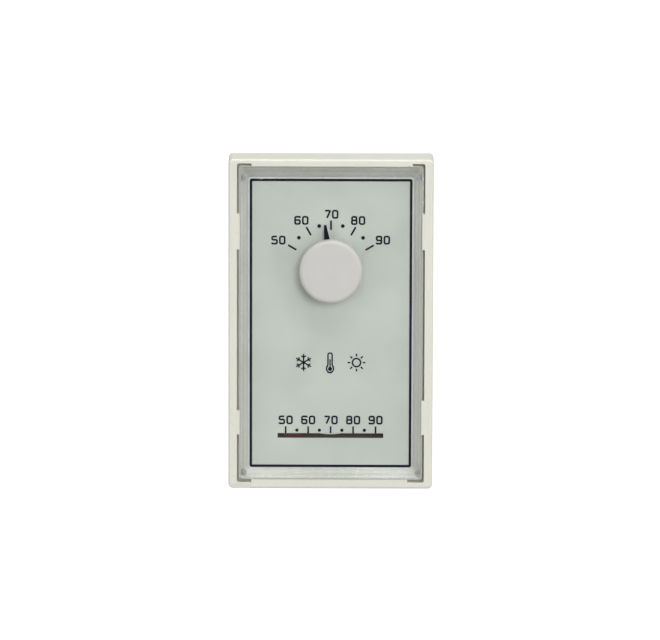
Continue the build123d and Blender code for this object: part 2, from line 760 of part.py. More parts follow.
def range_spring():
    low = TEMPERATURE_LEVER_Z + SHEET / 2 + 0.5
    high = RANGE_LEVER_Z - SHEET / 2 - 0.5
    turns = 6
    coil = Helix(pitch=(high - low) / turns, height=high - low, radius=2.6)
    coil = Pos(SPRING_X, -MECHANISM_DEPTH, low) * coil
    section = Plane(origin=coil @ 0, z_dir=coil % 0) * Circle(0.4)
    return sweep(section, path=coil, is_frenet=True)


def calibration_screw():
    z = TEMPERATURE_LEVER_Z
    shank = post(BUTTON_X, MECHANISM_DEPTH, 1.5, -17.4, z + SHEET / 2)
    head = post(BUTTON_X, MECHANISM_DEPTH, 2.7, z + SHEET / 2, z + 2.4)
    depth = MECHANISM_DEPTH
    slot = block(BUTTON_X - 4, BUTTON_X + 4, depth - 0.35, depth + 0.35, z + 1.5, z + 3)
    return shank + head - slot


def lock_nut():
    top = TEMPERATURE_LEVER_Z - SHEET / 2
    nut = Pos(BUTTON_X, -MECHANISM_DEPTH, top - 2.2) * extrude(RegularPolygon(3.1, 6), 2.2)
    return nut - post(BUTTON_X, MECHANISM_DEPTH, 1.5, top - 4, top + 1)


# Switch


def switch_case():
    half = SWITCH_HALF_WIDTH
    case = block(-half, half, CHASSIS_FRONT, 18.0, SWITCH_BOTTOM, SWITCH_TOP)
    case -= block(2.5 - half, half - 2.5, 7.0, 20.0, SWITCH_BOTTOM + 2.2, SWITCH_TOP - 1.6)
    case -= post(BUTTON_X, MECHANISM_DEPTH, 1.8 + RUNNING_GAP, SWITCH_TOP - 3, SWITCH_TOP + 1)
    for side in (-1, 1):
        ear = sorted((side * half, side * 32.6))
        case += block(*ear, CHASSIS_FRONT, TERMINAL_BACK, -31.6, -22.4)
        case -= slab(disc(side * TERMINAL_X, -27.4, 1.6), 7.0, 20)
    case -= line_strip()
    case -= load_strip()
    for x, z in switch_rivet_places():
        case -= slab(disc(x, z, 0.7), 14, 20)
    return case


def line_strip():
    return block(-25.0, -14.5, 9.6, 14.4, BLADE_Z - 1.5, BLADE_Z - 0.5)


def load_strip():
    return block(7.5, 25.0, 9.6, 14.4, -28.2, -27.2)


def terminal(side, strip):
    """A brass plate outside the switch, with a strip that runs in through its wall."""
    span = sorted((side * SWITCH_HALF_WIDTH, side * 32.6))
    plate = block(*span, TERMINAL_BACK, TERMINAL_FRONT, -31.6, -22.6)
    joined = plate + strip
    return joined - slab(disc(side * TERMINAL_X, -27.4, 1.6), 7, 20)


def terminal_screws():
    screws = []
    for side, turn in ((-1, 35), (1, 110)):
        x = side * TERMINAL_X
        screws.append(slotted_screw(x, -27.4, TERMINAL_FRONT, 1.6, 5.2, 3.3, 2.2, turn))
    return group(screws)


def switch_cover():
    half = SWITCH_HALF_WIDTH
    plate = block(-half, half, 18.0, 19.2, SWITCH_BOTTOM, SWITCH_TOP)
    for x, z in switch_rivet_places():
        plate -= slab(disc(x, z, 0.7), 14, 20)
    return plate


def switch_rivet_places():
    places = []
    for x in (-22.8, 22.8):
        places += [(x, SWITCH_BOTTOM + 1.3), (x, SWITCH_TOP - 1.3)]
    return places


def switch_rivets():
    return group([rivet(x, z, 19.2, 0.7, 4.6, 1.1, 0.5) for x, z in switch_rivet_places()])


def switch_button():
    rod = post(BUTTON_X, MECHANISM_DEPTH, 1.8, BLADE_Z + 0.35, -17.55)
    return chamfer(rod.edges().group_by(Axis.Z)[-1], 0.3)


def contact_blade():
    strip = block(BLADE_PIVOT_X - 1.5, 18.5, 9.8, 14.2, BLADE_Z - 0.2, BLADE_Z + 0.2)
    return strip - post(CONTACT_X, MECHANISM_DEPTH, 0.8, BLADE_Z - 1, BLADE_Z + 1)


def moving_contact():
    pin = post(CONTACT_X, MECHANISM_DEPTH, 0.8, BLADE_Z - 0.3, BLADE_Z + 0.5)
    return pin + post(CONTACT_X, MECHANISM_DEPTH, 1.6, BLADE_Z - 1.4, BLADE_Z - 0.2)


def fixed_contact():
    return post(CONTACT_X, MECHANISM_DEPTH, 1.6, -27.2, -26.2)


PIECES = {
    "base_plate": base_plate,
    "chassis": chassis,
    "chassis_screws": chassis_screws,
    "bridge_bracket": bridge_bracket,
    "bridge_screws": bridge_screws,
    "shaft_bushing": shaft_bushing,
    "bushing_nut": bushing_nut,
    "lever_pins": lever_pins,
    "pin_clips": pin_clips,
    "cover_clips": cover_clips,
    "clip_rivets": clip_rivets,
    "capsule_bracket": capsule_bracket,
    "bracket_rivets": bracket_rivets,
    "diaphragm_capsule": diaphragm_capsule,
    "sensing_bulb": sensing_bulb,
    "capillary_tube": capillary_tube,
    "bulb_clips": bulb_clips,
    "element_plunger": element_plunger,
    "range_lever": range_lever,
    "range_spring": range_spring,
    "temperature_lever": temperature_lever,
    "calibration_screw": calibration_screw,
    "lock_nut": lock_nut,
    "switch_case": switch_case,
    "switch_cover": switch_cover,
    "switch_rivets": switch_rivets,
    "line_terminal": lambda: terminal(-1, line_strip()),
    "load_terminal": lambda: terminal(1, load_strip()),
    "terminal_screws": terminal_screws,
    "switch_button": switch_button,
    "contact_blade": contact_blade,
    "moving_contact": moving_contact,
    "fixed_contact": fixed_contact,
    "adjust_shaft": adjust_shaft,
    "range_cam": range_cam,
    "shaft_clip": shaft_clip,
    "cover_shell": cover_shell,
    "clear_lens": clear_lens,
    "dial_plate": dial_plate,
    "lens_pins": lens_pins,
    "thermometer_backing": thermometer_backing,
    "backing_rivets": backing_rivets,
    "thermometer_post": thermometer_post,
    "pointer_hub": pointer_hub,
    "bimetal_coil": bimetal_coil,
    "thermometer_disc": thermometer_disc,
    "thermometer_pointer": thermometer_pointer,
    "knob": knob,
    "knob_retainer": knob_retainer,
    "knob_spring": knob_spring,
    "pointer": pointer,
}

os.makedirs("parts", exist_ok=True)
for name, make in PIECES.items():
    export_step(make(), "parts/" + name + ".step")
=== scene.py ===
import math

import bpy
from mathutils import Matrix, Vector


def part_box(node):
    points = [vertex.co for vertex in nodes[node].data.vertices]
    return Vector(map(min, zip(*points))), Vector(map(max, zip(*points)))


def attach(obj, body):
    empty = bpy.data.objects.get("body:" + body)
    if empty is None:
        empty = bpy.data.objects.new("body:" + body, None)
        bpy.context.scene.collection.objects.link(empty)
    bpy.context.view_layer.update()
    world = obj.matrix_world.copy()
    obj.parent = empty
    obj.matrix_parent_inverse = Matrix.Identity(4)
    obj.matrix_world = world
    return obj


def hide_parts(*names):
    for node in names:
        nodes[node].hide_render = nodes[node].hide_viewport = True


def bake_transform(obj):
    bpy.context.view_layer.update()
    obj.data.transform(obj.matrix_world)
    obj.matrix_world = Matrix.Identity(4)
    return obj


# A wall thermostat seen from the front in soft studio light.
# X runs right, Z runs up and the wall is the plane Y = 0, so the front faces -Y.
# Lengths named _MM are in millimetres. Everything handed to Blender is in metres.
# Noise scales are in cells per metre, and bump distances in metres.

MM = 0.001
PLASTIC_IOR = 1.5
ACRYLIC_IOR = 1.47

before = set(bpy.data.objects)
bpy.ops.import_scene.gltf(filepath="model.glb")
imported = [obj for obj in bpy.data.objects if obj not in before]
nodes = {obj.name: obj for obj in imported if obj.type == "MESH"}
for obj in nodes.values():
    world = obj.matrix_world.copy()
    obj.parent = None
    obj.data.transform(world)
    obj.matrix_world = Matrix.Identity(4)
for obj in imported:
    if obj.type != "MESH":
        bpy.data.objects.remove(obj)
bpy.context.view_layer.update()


# ---------------------------------------------------------------- node helpers


def new_material(name):
    material = bpy.data.materials.new(name)
    material.use_nodes = True
    tree = material.node_tree
    tree.nodes.clear()
    return material, tree


def add(tree, kind, **settings):
    node = tree.nodes.new(kind)
    for key, value in settings.items():
        setattr(node, key, value)
    return node


def put(node, **values):
    """Sets input sockets by name; an underscore stands for a space."""
    for key, value in values.items():
        node.inputs[key.replace("_", " ")].default_value = value
    return node


def place(tree, stretch=(1, 1, 1)):
    """The object's own coordinates, in metres, stretched along some axes."""
    coordinates = add(tree, "ShaderNodeTexCoord")
    mapping = add(tree, "ShaderNodeMapping")
    mapping.inputs["Scale"].default_value = stretch
    tree.links.new(coordinates.outputs["Object"], mapping.inputs["Vector"])
    return mapping.outputs["Vector"]


def noise(tree, where, scale, detail=3.0, rough=0.55, distortion=0.0):
    node = add(tree, "ShaderNodeTexNoise")
    put(node, Scale=scale, Detail=detail, Roughness=rough, Distortion=distortion)
    tree.links.new(where, node.inputs["Vector"])
    return node.outputs["Fac"]


def spread(tree, value, low, high, start=0.3, end=0.7):
    """Carries a texture's value onto the range from low to high."""
    node = add(tree, "ShaderNodeMapRange")
    put(node, From_Min=start, From_Max=end, To_Min=low, To_Max=high)
    tree.links.new(value, node.inputs["Value"])
    return node.outputs["Result"]


def shade(color, factor):
    return tuple(min(1.0, part * factor) for part in color[:3]) + (1.0,)


def ramp(tree, value, stops):
    node = add(tree, "ShaderNodeValToRGB")
    band = node.color_ramp
    while len(band.elements) < len(stops):
        band.elements.new(0.5)
    for element, (position, color) in zip(band.elements, stops):
        element.position = position
        element.color = color
    tree.links.new(value, node.inputs["Fac"])
    return node.outputs["Color"]


def mixed(tree, share, first, second, blend="MIX"):
    node = add(tree, "ShaderNodeMix", data_type="RGBA", blend_type=blend)
    for socket, value in ((0, share), (6, first), (7, second)):
        if isinstance(value, (int, float, tuple)):
            node.inputs[socket].default_value = value
        else:
            tree.links.new(value, node.inputs[socket])
    return node.outputs[2]


def reckon(tree, operation, first, second):
    """A sum on two values, each a number or a socket."""
    node = add(tree, "ShaderNodeMath", operation=operation)
    for socket, value in zip(node.inputs, (first, second)):
        if isinstance(value, (int, float)):
            socket.default_value = value
        else:
            tree.links.new(value, socket)
    return node.outputs["Value"]


def blended(tree, share, first, second):
    """One shader giving way to another as share goes from 0 to 1."""
    node = add(tree, "ShaderNodeMixShader")
    for socket, value in zip(node.inputs, (share, first, second)):
        tree.links.new(value, socket)
    return node.outputs["Shader"]


def bumps(tree, heights):
    """Stacks bump nodes; each height is (texture value, strength, distance in metres).

    A strength may be a socket.
    """
    normal = None
    for value, strength, distance in heights:
        node = add(tree, "ShaderNodeBump")
        put(node, Distance=distance)
        if isinstance(strength, (int, float)):
            put(node, Strength=strength)
        else:
            tree.links.new(strength, node.inputs["Strength"])
        tree.links.new(value, node.inputs["Height"])
        if normal is not None:
            tree.links.new(normal, node.inputs["Normal"])
        normal = node.outputs["Normal"]
    return normal


def close(tree, shader):
    output = add(tree, "ShaderNodeOutputMaterial")
    tree.links.new(shader, output.inputs["Surface"])


GROOVE_REACH = 0.004       # how far round a point a hollow is looked for
SUBSURFACE_SCALE = 0.0012


def solid(name, color, roughness, metallic=0.0, mottle=0.04, cloud=70.0, grain=3500.0,
          bump=0.12, depth=0.00003, stretch=(1, 1, 1), crevice=0.0, tarnish=None,
          subsurface=0.0, speck=0.0, shine=0.5):
    """A surface with cloudy colour, fine grain, uneven gloss and, where asked, painted shade in its
    hollows or tarnish.

    mottle is how far the colour wanders, crevice how dark the painted shade in the hollows is,
    tarnish a colour and its share, speck the share of fine dark dots, and shine the strength of the
    plain reflection.
    """
    material, tree = new_material(name)
    still = place(tree)
    stretched = place(tree, stretch)
    clouds = noise(tree, still, cloud, 4.0, 0.6)
    grit = noise(tree, stretched, grain, 2.0, 0.6)
    broad = noise(tree, stretched, grain * 0.12, 3.0, 0.5)
    hue = ramp(tree, clouds, [
        (0.25, shade(color, 1 - mottle)),
        (0.5, shade(color, 1.0)),
        (0.75, shade(color, 1 + mottle)),
    ])
    fine = ramp(tree, grit, [(0.3, shade((1, 1, 1), 1 - 1.2 * mottle)), (0.7, (1, 1, 1, 1))])
    hue = mixed(tree, 1.0, hue, fine, "MULTIPLY")
    if tarnish:
        patches = noise(tree, still, cloud * 3.1, 5.0, 0.7, 0.4)
        share = spread(tree, patches, 0.0, tarnish[1], 0.45, 0.72)
        hue = mixed(tree, share, hue, shade(tarnish[0], 1.0))
    if speck:
        dots = noise(tree, still, grain * 0.45, 1.0, 0.4)
        share = spread(tree, dots, 0.0, speck, 0.68, 0.74)
        hue = mixed(tree, share, hue, shade(color, 0.45))
    # Painted shade in hollows: the colour turns darker where ambient occlusion finds the surface
    # closed in
    if crevice:
        hollow = add(tree, "ShaderNodeAmbientOcclusion", samples=6)
        put(hollow, Distance=GROOVE_REACH)
        painted_hollow_shade = spread(tree, hollow.outputs["AO"], crevice, 0.0, 0.35, 0.9)
        hue = mixed(tree, painted_hollow_shade, hue, shade(color, 0.42))
    shader = add(tree, "ShaderNodeBsdfPrincipled")
    put(shader, Metallic=metallic, IOR=PLASTIC_IOR, Specular_IOR_Level=shine,
        Subsurface_Weight=subsurface, Subsurface_Scale=SUBSURFACE_SCALE)
    tree.links.new(hue, shader.inputs["Base Color"])
    gloss = spread(tree, broad, roughness - 0.06, roughness + 0.07)
    tree.links.new(gloss, shader.inputs["Roughness"])
    normal = bumps(tree, [(broad, bump * 0.6, depth * 3), (grit, bump, depth)])
    tree.links.new(normal, shader.inputs["Normal"])
    close(tree, shader.outputs["BSDF"])
    return material


def inside(tree, value, low, high):
    """One where a value lies between two limits, and nought elsewhere."""
    above = reckon(tree, "GREATER_THAN", value, low)
    below = reckon(tree, "LESS_THAN", value, high)
    return reckon(tree, "MULTIPLY", above, below)


def within_frame(tree, where):
    """One inside the black frame of the panel, and nought outside it."""
    parts = add(tree, "ShaderNodeSeparateXYZ")
    tree.links.new(where, parts.inputs["Vector"])
    across = inside(tree, parts.outputs["X"], -BORDER_HALF_WIDTH_MM * MM, BORDER_HALF_WIDTH_MM * MM)
    up = inside(tree, parts.outputs["Z"], BORDER_BOTTOM_MM * MM, BORDER_TOP_MM * MM)
    return reckon(tree, "MULTIPLY", across, up)


RIPPLE_STRENGTH = 0.38     # on the sloping sides; the floor of the tray is flat
RIPPLE_DEPTH = 0.0008


def clear(name):
    """Clear acrylic: it lets light straight through and mirrors the room at a slant."""
    material, tree = new_material(name)
    where = place(tree)
    haze = noise(tree, where, 55.0, 4.0, 0.6)
    hairlines = noise(tree, place(tree, (1, 1, 0.05)), 2600.0, 2.0, 0.5)
    wave = noise(tree, where, 26.0, 2.0, 0.4)
    upright = noise(tree, place(tree, (1, 1, 0.03)), 420.0, 2.0, 0.5)
    level = noise(tree, place(tree, (0.03, 1, 1)), 420.0, 2.0, 0.5)
    ripple = spread(tree, within_frame(tree, where), RIPPLE_STRENGTH, 0.0, 0.0, 1.0)
    normal = bumps(tree, [
        (wave, 0.08, 0.0010),
        (upright, ripple, RIPPLE_DEPTH),
        (level, ripple, RIPPLE_DEPTH),
        (hairlines, 0.03, 0.00001),
    ])
    tint = ramp(tree, haze, [(0.3, (0.955, 0.965, 0.955, 1)), (0.7, (0.985, 0.99, 0.985, 1))])
    through = add(tree, "ShaderNodeBsdfTransparent")
    tree.links.new(tint, through.inputs["Color"])
    mirror = add(tree, "ShaderNodeBsdfGlossy")
    put(mirror, Color=(0.96, 0.98, 0.97, 1))
    gloss = spread(tree, haze, 0.03, 0.07)
    tree.links.new(gloss, mirror.inputs["Roughness"])
    tree.links.new(normal, mirror.inputs["Normal"])
    slant = add(tree, "ShaderNodeFresnel")
    put(slant, IOR=ACRYLIC_IOR)
    tree.links.new(normal, slant.inputs["Normal"])
    facing = add(tree, "ShaderNodeNewGeometry")
    outward = reckon(tree, "SUBTRACT", 1.0, facing.outputs["Backfacing"])
    share = reckon(tree, "MULTIPLY", slant.outputs["Fac"], outward)
    close(tree, blended(tree, share, through.outputs["BSDF"], mirror.outputs["BSDF"]))
    return material


# The tray's sloping sides rise from its foot to its rim, in metres from the wall
TRAY_FOOT = 0.026
TRAY_RIM = 0.0302
BAND_WANDER = 0.0003


def panel_sheet(name):
    """Drawn aluminium: pale green lacquer inside the black frame, bare satin metal outside it, with
    painted shade and highlights on the sloping sides.
    """
    material, tree = new_material(name)
    still = place(tree)
    painted = within_frame(tree, still)
    clouds = noise(tree, still, 24.0, 4.0, 0.6)
    lacquer = ramp(tree, clouds, [
        (0.3, shade(PANEL_GREEN, 0.975)),
        (0.5, shade(PANEL_GREEN, 1.0)),
        (0.7, shade(PANEL_GREEN, 1.02)),
    ])
    streaks = noise(tree, place(tree, (0.12, 1, 1)), 1400.0, 3.0, 0.6)
    metal = ramp(tree, streaks, [(0.3, shade(BARE_METAL, 0.93)), (0.7, shade(BARE_METAL, 1.04))])
    # Painted shade and highlights in bands along the sloping sides, by distance from the wall: darker
    # towards the rim under the lip, with lighter and darker stripes
    parts = add(tree, "ShaderNodeSeparateXYZ")
    tree.links.new(still, parts.inputs["Vector"])
    forward = reckon(tree, "MULTIPLY", parts.outputs["Y"], -1.0)
    along = noise(tree, place(tree, (1, 1, 0.02)), 900.0, 2.0, 0.5)
    wander = spread(tree, along, -BAND_WANDER, BAND_WANDER)
    depth = reckon(tree, "ADD", forward, wander)
    climb = spread(tree, depth, 0.0, 1.0, TRAY_FOOT, TRAY_RIM)
    painted_wall_shade = ramp(tree, climb, [
        (0.00, (1.00, 1.00, 1.00, 1)), (0.08, (0.93, 0.93, 0.97, 1)), (0.18, (0.885, 0.885, 0.92, 1)),
        (0.32, (0.97, 0.965, 0.93, 1)), (0.46, (0.94, 0.94, 0.90, 1)), (0.60, (0.83, 0.83, 0.81, 1)),
        (0.68, (0.85, 0.85, 0.84, 1)), (0.78, (0.98, 0.98, 0.98, 1)), (0.90, (0.86, 0.86, 0.83, 1)),
        (1.00, (0.80, 0.80, 0.77, 1)),
    ])
    metal = mixed(tree, 1.0, metal, painted_wall_shade, "MULTIPLY")
    grit = noise(tree, still, 5200.0, 2.0, 0.6)
    shader = add(tree, "ShaderNodeBsdfPrincipled")
    put(shader, IOR=PLASTIC_IOR)
    tree.links.new(mixed(tree, painted, metal, lacquer), shader.inputs["Base Color"])
    metallic = spread(tree, painted, BARE_METALLIC, PAINTED_METALLIC, 0.0, 1.0)
    tree.links.new(metallic, shader.inputs["Metallic"])
    gloss = spread(tree, clouds, 0.50, 0.60)
    tree.links.new(gloss, shader.inputs["Roughness"])
    normal = bumps(tree, [(streaks, 0.06, 0.00002), (grit, 0.08, 0.00001)])
    tree.links.new(normal, shader.inputs["Normal"])
    close(tree, shader.outputs["BSDF"])
    return material


# ------------------------------------------------------------------- materials

# The thin black frame printed round the panel; the lacquer ends at it
BORDER_HALF_WIDTH_MM = 28.62
BORDER_TOP_MM = 51.35
BORDER_BOTTOM_MM = -51.65
BORDER_LINE_MM = 0.92
BORDER_CORNER_MM = 0.35

IVORY = (0.785, 0.780, 0.682)
PANEL_GREEN = (0.680, 0.712, 0.668)
BARE_METAL = (0.80, 0.79, 0.765)
BARE_METALLIC = 0.45
PAINTED_METALLIC = 0.06
KNOB_GREY = (0.625, 0.61, 0.582)
INK = (0.010, 0.011, 0.030)

# By the record's material slots
finishes = {
    "ivory_plastic": solid("ivory_abs", IVORY, 0.42, mottle=0.018, cloud=38.0, grain=2600.0,
                           bump=0.10, crevice=0.45, subsurface=0.04, speck=0.10),
    "clear_plastic": clear("clear_acrylic"),
    "silver_sheet": panel_sheet("satin_silver_sheet"),
    "knob_plastic": solid("grey_knob", KNOB_GREY, 0.5, mottle=0.025, cloud=90.0, grain=3000.0,
                          bump=0.2, crevice=0.3, speck=0.08),
    "black_plastic": solid("black_satin", (0.004, 0.004, 0.010), 0.72, mottle=0.2, bump=0.15,
                           shine=0.22),
    "base_plastic": solid("base_abs", (0.52, 0.50, 0.43), 0.52, mottle=0.05, cloud=45.0,
                          bump=0.18, crevice=0.4, speck=0.15),
    "phenolic": solid("brown_phenolic", (0.055, 0.034, 0.026), 0.34, mottle=0.3, cloud=160.0,
                      bump=0.12, tarnish=((0.11, 0.07, 0.05), 0.5)),
    "zinc_steel": solid("zinc_plate", (0.56, 0.56, 0.53), 0.34, metallic=1.0, mottle=0.08,
                        cloud=220.0, bump=0.12, tarnish=((0.52, 0.48, 0.36), 0.45)),
    "spring_steel": solid("spring_steel_strip", (0.40, 0.41, 0.43), 0.3, metallic=1.0, mottle=0.06,
                          stretch=(0.08, 1, 1), grain=4200.0, bump=0.14,
                          tarnish=((0.30, 0.27, 0.25), 0.4)),
    "brass": solid("turned_brass", (0.74, 0.55, 0.25), 0.28, metallic=1.0, mottle=0.06,
                   bump=0.1, tarnish=((0.42, 0.28, 0.12), 0.55)),
    "copper": solid("drawn_copper", (0.74, 0.39, 0.25), 0.3, metallic=1.0, mottle=0.08,
                    bump=0.1, tarnish=((0.30, 0.15, 0.09), 0.6)),
    "contact_silver": solid("contact_face", (0.80, 0.79, 0.76), 0.26, metallic=1.0, mottle=0.05,
                            bump=0.08, tarnish=((0.35, 0.30, 0.25), 0.5)),
    "backing_card": solid("dark_backing", (0.135, 0.098, 0.090), 0.62, mottle=0.2, cloud=120.0,
                          bump=0.25, speck=0.2),
    "pale_plastic": solid("pale_disc", (0.97, 0.93, 0.84), 0.5, mottle=0.05, bump=0.15),
    "red_plastic": solid("red_tongue", (0.105, 0.024, 0.020), 0.45, mottle=0.12, bump=0.12),
}

finishes_by_node = {
    "lens_pins": solid("pin_ends", (0.40, 0.40, 0.42), 0.4, mottle=0.15, cloud=900.0, bump=0.2),
}
for name, node in nodes.items():
    for spot in node.material_slots:
        base = spot.material.name.split(".")[0]
        spot.material = finishes_by_node.get(name, finishes[base])

ink = solid("printing_ink", INK, 0.75, mottle=0.16, cloud=300.0, grain=6000.0, bump=0.2,
            depth=0.000004, shine=0.22)


# ----------------------------------------------------------------- flat print

PRINT_BACK_MM = 26.01      # the print lies between the dial plate and the lens
PRINT_FRONT_MM = 26.04


def rounded(corners, radius, closed=False, steps=5):
    """A path in X and Z with its corners rounded."""
    count = len(corners)
    path = []
    for index, corner in enumerate(corners):
        if not closed and index in (0, count - 1):
            path.append(corner)
            continue
        here = Vector(corner)
        back = Vector(corners[index - 1]) - here
        on = Vector(corners[(index + 1) % count]) - here
        reach = min(radius, back.length / 2, on.length / 2)
        start = here + back.normalized() * reach
        end = here + on.normalized() * reach
        for step in range(steps + 1):
            share = step / steps
            a = start.lerp(here, share)
            b = here.lerp(end, share)
            path.append(tuple(a.lerp(b, share)))
    return path


def ribbon(path, width, closed=False):
    """The two edges of a stroke that follows a path."""
    count = len(path)
    points = [Vector(point) for point in path]
    left, right = [], []
    for index, point in enumerate(points):
        before = points[index - 1] if closed or index else None
        after = points[(index + 1) % count] if closed or index < count - 1 else None
        ways = []
        if before is not None:
            ways.append((point - before).normalized())
        if after is not None:
            ways.append((after - point).normalized())
        along = sum(ways, Vector((0, 0))).normalized()
        side = Vector((-along.y, along.x))
        stretch = 1 / max(0.5, ways[0].dot(along))
        left.append(tuple(point + side * width / 2 * stretch))
        right.append(tuple(point - side * width / 2 * stretch))
    return left, right


class Print:
    """Flat ink shapes gathered into one thin solid mesh."""

    def __init__(self):
        self.points = []
        self.faces = []

    def layer(self, outline):
        """Adds an outline at the back and the front and returns both index lists."""
        first = len(self.points)
        for depth in (PRINT_BACK_MM, PRINT_FRONT_MM):
            self.points += [(x * MM, -depth * MM, z * MM) for x, z in outline]
        size = len(outline)
        return list(range(first, first + size)), list(range(first + size, first + 2 * size))

    def filled(self, outline):
        """A filled outline, given anticlockwise as seen from the front."""
        back, front = self.layer(outline)
        self.faces += [tuple(front), tuple(reversed(back))]
        for index in range(len(outline)):
            after = (index + 1) % len(outline)
            self.faces.append((back[index], back[after], front[after], front[index]))

    def stroke(self, path, width, closed=False):
        """A line of even width along a path."""
        left, right = ribbon(path, width, closed)
        left_back, left_front = self.layer(left)
        right_back, right_front = self.layer(right)
        last = len(path) if closed else len(path) - 1
        for index in range(last):
            after = (index + 1) % len(path)
            self.faces += [
                (right_front[index], right_front[after], left_front[after], left_front[index]),
                (left_back[index], left_back[after], right_back[after], right_back[index]),
                (right_back[index], right_back[after], right_front[after], right_front[index]),
                (left_front[index], left_front[after], left_back[after], left_back[index]),
            ]
        if not closed:
            self.faces.append((right_back[0], right_front[0], left_front[0], left_back[0]))
            end = len(path) - 1
            self.faces.append((left_back[end], left_front[end], right_front[end], right_back[end]))

    def dot(self, x, z, radius, sides=20):
        turn = 2 * math.pi / sides
        self.filled([
            (x + radius * math.cos(turn * k), z + radius * math.sin(turn * k)) for k in range(sides)
        ])

    def piece(self, name):
        mesh = bpy.data.meshes.new(name)
        mesh.from_pydata(self.points, [], self.faces)
        mesh.materials.append(ink)
        thing = bpy.data.objects.new(name, mesh)
        bpy.context.scene.collection.objects.link(thing)
        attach(thing, "cover")


# Numerals: square round-cornered digits
DIGIT_WIDTH_MM = 2.35
DIGIT_HEIGHT_MM = 3.2
DIGIT_GAP_MM = 0.42
DIGIT_STROKE_MM = 0.64
DIGIT_CORNER_MM = 0.62
DIGIT_HOOK_MM = 0.42       # length of the short end of a 5, 6 or 9
DIGIT_BAR_RISE_MM = 0.12   # how far the middle bar stands off the digit's centre


def digit_paths(digit):
    """Each path as (corner radius, closed, corners) about the digit's middle."""
    w = (DIGIT_WIDTH_MM - DIGIT_STROKE_MM) / 2
    h = (DIGIT_HEIGHT_MM - DIGIT_STROKE_MM) / 2
    r = DIGIT_CORNER_MM
    hook = h - DIGIT_HOOK_MM
    middle = DIGIT_BAR_RISE_MM
    near = w - 0.05
    if digit == "0":
        return [(r, True, [(-w, -h), (w, -h), (w, h), (-w, h)])]
    if digit == "5":
        corners = [(w, h), (-w, h), (-w, middle), (w, middle), (w, -h), (-w, -h), (-w, -hook)]
        return [(r * 0.75, False, corners)]
    if digit == "6":
        corners = [(w, hook), (w, h), (-w, h), (-w, -h), (w, -h), (w, middle), (-near, middle)]
        return [(r * 0.9, False, corners)]
    if digit == "7":
        return [(0.2, False, [(-w, h), (w, h), (w, h - 0.35), (-0.15, -h)])]
    if digit == "8":
        top = w * 0.92
        return [
            (r * 0.8, True, [(-w, -h), (w, -h), (w, 0.05), (-w, 0.05)]),
            (r * 0.7, True, [(-top, 0.05), (top, 0.05), (top, h), (-top, h)]),
        ]
    corners = [(-w, -hook), (-w, -h), (w, -h), (w, h), (-w, h), (-w, -middle), (near, -middle)]
    return [(r * 0.9, False, corners)]


def write_number(sheet, number, x, z):
    step = DIGIT_WIDTH_MM + DIGIT_GAP_MM
    start = x - step * (len(number) - 1) / 2
    for index, digit in enumerate(number):
        middle = start + step * index
        for radius, closed, corners in digit_paths(digit):
            path = [(middle + a, z + b) for a, b in rounded(corners, radius, closed)]
            sheet.stroke(path, DIGIT_STROKE_MM, closed)


# The dial is centred on the knob, and the slot's middle and upper edge are those of the dial plate
knob_low, knob_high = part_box("knob")
DIAL_Z_MM = (knob_low.z + knob_high.z) / 2 / MM
SLOT_Z_MM = -40.65
SLOT_TOP_MM = SLOT_Z_MM + 0.85


def on_dial(radius, degrees):
    """A point at a radius from the knob's axis, clockwise from straight up."""
    angle = math.radians(degrees)
    return radius * math.sin(angle), DIAL_Z_MM + radius * math.cos(angle)


border = Print()
border_corners = [
    (-BORDER_HALF_WIDTH_MM, BORDER_BOTTOM_MM), (BORDER_HALF_WIDTH_MM, BORDER_BOTTOM_MM),
    (BORDER_HALF_WIDTH_MM, BORDER_TOP_MM), (-BORDER_HALF_WIDTH_MM, BORDER_TOP_MM),
]
border.stroke(rounded(border_corners, BORDER_CORNER_MM, True), BORDER_LINE_MM, True)
border.piece("dial_border")

# Dial scale from 50 to 90
TICK_IN_MM = 14.3
TICK_OUT_MM = 17.7
TICK_LINE_MM = 0.66
dial_ticks = Print()
for degrees in (-60, -30, 0, 30, 60):
    dial_ticks.stroke([on_dial(TICK_IN_MM, degrees), on_dial(TICK_OUT_MM, degrees)], TICK_LINE_MM)
dial_ticks.piece("dial_ticks")

DOT_RING_MM = 16.25
DOT_RADIUS_MM = 0.68
dial_dots = Print()
for degrees in (-45, -15, 15, 45):
    dial_dots.dot(*on_dial(DOT_RING_MM, degrees), DOT_RADIUS_MM)
dial_dots.piece("dial_dots")

# Each numeral's middle, across and up from the knob's axis
DIAL_NUMERALS_MM = {
    "50": (-18.8, 10.6),
    "60": (-10.6, 17.7),
    "70": (0.1, 19.9),
    "80": (9.7, 17.7),
    "90": (18.6, 10.7),
}
dial_numerals = Print()
for number, (x, z) in DIAL_NUMERALS_MM.items():
    write_number(dial_numerals, number, x, DIAL_Z_MM + z)
dial_numerals.piece("dial_numerals")

# Thermometer scale above its slot
SCALE_PITCH_MM = 8.08
SCALE_MIDDLE_MM = 0.07
SCALE_NUMERAL_RISE_MM = 5.65
SCALE_TICK_START_MM = 0.02
SCALE_TICK_END_MM = 2.5
SCALE_TICK_LINE_MM = 0.62
SCALE_DOT_RISE_MM = 1.95
SCALE_DOT_RADIUS_MM = 0.6
scale_ticks = Print()
scale_dots = Print()
scale_numerals = Print()
for step, number in zip(range(-2, 3), DIAL_NUMERALS_MM):
    x = SCALE_MIDDLE_MM + step * SCALE_PITCH_MM
    tick = [(x, SLOT_TOP_MM + rise) for rise in (SCALE_TICK_START_MM, SCALE_TICK_END_MM)]
    scale_ticks.stroke(tick, SCALE_TICK_LINE_MM)
    if step < 2:
        scale_dots.dot(x + SCALE_PITCH_MM / 2, SLOT_Z_MM + SCALE_DOT_RISE_MM, SCALE_DOT_RADIUS_MM)
    write_number(scale_numerals, number, x, SLOT_Z_MM + SCALE_NUMERAL_RISE_MM)
